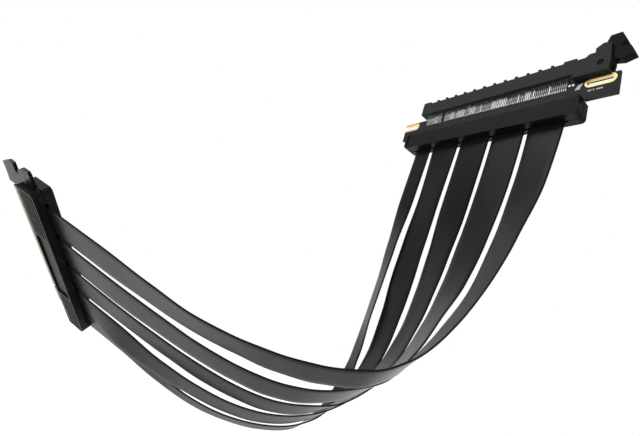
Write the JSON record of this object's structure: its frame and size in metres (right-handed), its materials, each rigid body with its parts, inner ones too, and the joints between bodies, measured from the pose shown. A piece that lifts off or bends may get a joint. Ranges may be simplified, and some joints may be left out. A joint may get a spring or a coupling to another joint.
{
  "type": "graphics card riser cable",
  "caption": "Flat ribbon riser cable that joins a keyed card slot with a latch and mounting ears to a card edge plug with a retention hook.",
  "frame": {"origin": "middle of the outer face of the slot end's back cover", "axes": "+X along the contact row towards the latch, +Y out of the slot end's back, +Z out of the slot's mouth"},
  "size_m": [0.2442, 0.2035, 0.2254],
  "materials": {
    "cover_plastic": "fine moulded grain",
    "slot_plastic": "satin moulded",
    "board_black": "solder mask",
    "gold_plate": "plated",
    "ribbon_skin": "satin film",
    "copper": "bare"
  },
  "bodies": {
    "riser": {"slot_board": "board_black", "closed_slot_plating": "gold_plate", "open_slot_plating": "gold_plate", "slot_housing": "slot_plastic", "slot_front_cover": "cover_plastic", "slot_back_cover": "cover_plastic", "plug_board": "board_black", "plug_front_cover": "cover_plastic", "plug_back_cover": "cover_plastic", "ribbon_1": "ribbon_skin", "slot_ground_bar_1": "copper", "plug_ground_bar_1": "copper", "ribbon_2": "ribbon_skin", "slot_ground_bar_2": "copper", "plug_ground_bar_2": "copper", "ribbon_3": "ribbon_skin", "slot_ground_bar_3": "copper", "plug_ground_bar_3": "copper", "ribbon_4": "ribbon_skin", "slot_ground_bar_4": "copper", "plug_ground_bar_4": "copper", "ribbon_5": "ribbon_skin", "slot_ground_bar_5": "copper", "plug_ground_bar_5": "copper"},
    "latch_lever": {"latch": "slot_plastic"}
  },
  "joints": [
    {"name": "latch_hinge", "type": "hinge", "parent": "riser", "child": "latch_lever", "pos_m": [0.0575, -0.005, 0.0214], "axis": [0, 1, 0], "range_deg": [0, 20]}
  ]
}
